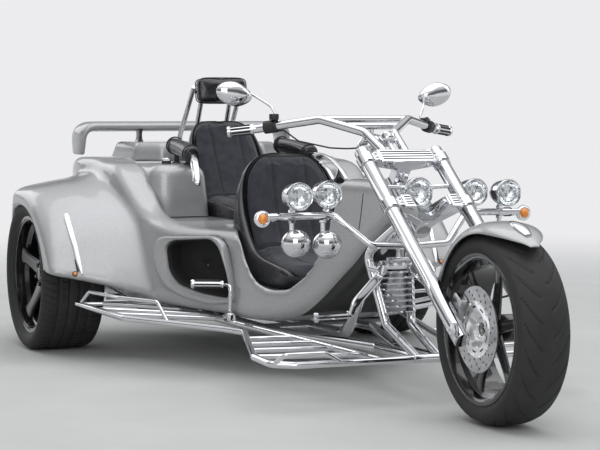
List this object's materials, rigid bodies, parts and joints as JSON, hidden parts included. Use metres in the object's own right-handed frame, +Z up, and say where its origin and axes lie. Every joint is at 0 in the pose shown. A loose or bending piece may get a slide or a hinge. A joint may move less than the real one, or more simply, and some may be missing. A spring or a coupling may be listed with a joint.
{
  "type": "motorized trike",
  "caption": "Road trike with a raked front fork and wheel, two wide rear wheels under a moulded shell, seats in line, lamps and side foot boards.",
  "frame": {"origin": "on the ground under the middle of the trike's length and width", "axes": "+X forward to the front wheel, +Y to the rider's left, +Z up"},
  "size_m": [3.491, 1.85, 1.1689],
  "materials": {
    "leather": "smooth black vinyl",
    "paint": "metallic silver-grey lacquer",
    "steel": "brushed and ground steel",
    "black_plastic": "satin black",
    "chrome": "polished chrome plate",
    "cloth": "charcoal woven cloth",
    "engine": "cast",
    "alloy": "gloss black lacquered alloy",
    "tyre": "road rubber",
    "lens": "clear lamp glass",
    "red_lens": "red lens",
    "amber": "amber lens in a chrome cup"
  },
  "bodies": {
    "chassis": {"armrests": "leather", "body_shell": "paint", "chassis_frame": "chrome", "drive_shafts": "steel", "driver_seat_pad": "cloth", "driver_seat_shell": "leather", "engine_block": "engine", "exhausts": "chrome", "filler_cap": "black_plastic", "foot_controls": "chrome", "foot_pegs": "chrome", "grab_handles": "chrome", "headrest_frame": "chrome", "headrest_pad": "leather", "lamp_bar": "chrome", "lower_domes": "chrome", "passenger_seat_pad": "cloth", "passenger_seat_shell": "leather", "plate_holder": "black_plastic", "radiator_guard": "chrome", "rear_cover": "paint", "rear_suspension": "steel", "rear_wing": "paint", "running_board_left": "chrome", "running_board_right": "chrome", "side_box_left": "paint", "side_box_right": "paint", "spot_lamps": "chrome", "spot_lenses": "lens", "tail_lamps": "red_lens", "turn_signals": "amber", "wing_pylons": "black_plastic"},
    "steering": {"fork_legs": "chrome", "top_clamp": "chrome", "lower_clamp": "chrome", "handlebar": "chrome", "grips": "chrome", "mirrors": "chrome", "head_lamp": "chrome", "head_lens": "lens", "front_fender": "paint", "gauge_pod": "chrome", "brake_caliper": "steel", "throttle_cable": "black_plastic", "hand_controls": "black_plastic", "brake_hose": "black_plastic", "riser_clock": "chrome"},
    "front_wheel": {"front_tyre": "tyre", "front_rim": "alloy", "brake_disc": "steel"},
    "rear_wheel_right": {"rear_tyre_right": "tyre", "rear_rim_right": "alloy"},
    "rear_wheel_left": {"rear_tyre_left": "tyre", "rear_rim_left": "alloy"}
  },
  "joints": [
    {"name": "steering", "type": "hinge", "parent": "chassis", "child": "steering", "pos_m": [0.59604, 0, 0.79635], "axis": [-0.7965, 0, 0.6046], "range_deg": [-28, 28]},
    {"name": "front_wheel_spin", "type": "hinge", "parent": "steering", "child": "front_wheel", "pos_m": [1.4305, 0, 0.315], "axis": [0, 1, 0], "continuous": true},
    {"name": "rear_wheel_right_spin", "type": "hinge", "parent": "chassis", "child": "rear_wheel_right", "pos_m": [-1.1255, -0.77, 0.32], "axis": [0, 1, 0], "continuous": true},
    {"name": "rear_wheel_left_spin", "type": "hinge", "parent": "chassis", "child": "rear_wheel_left", "pos_m": [-1.1255, 0.77, 0.32], "axis": [0, 1, 0], "continuous": true}
  ]
}
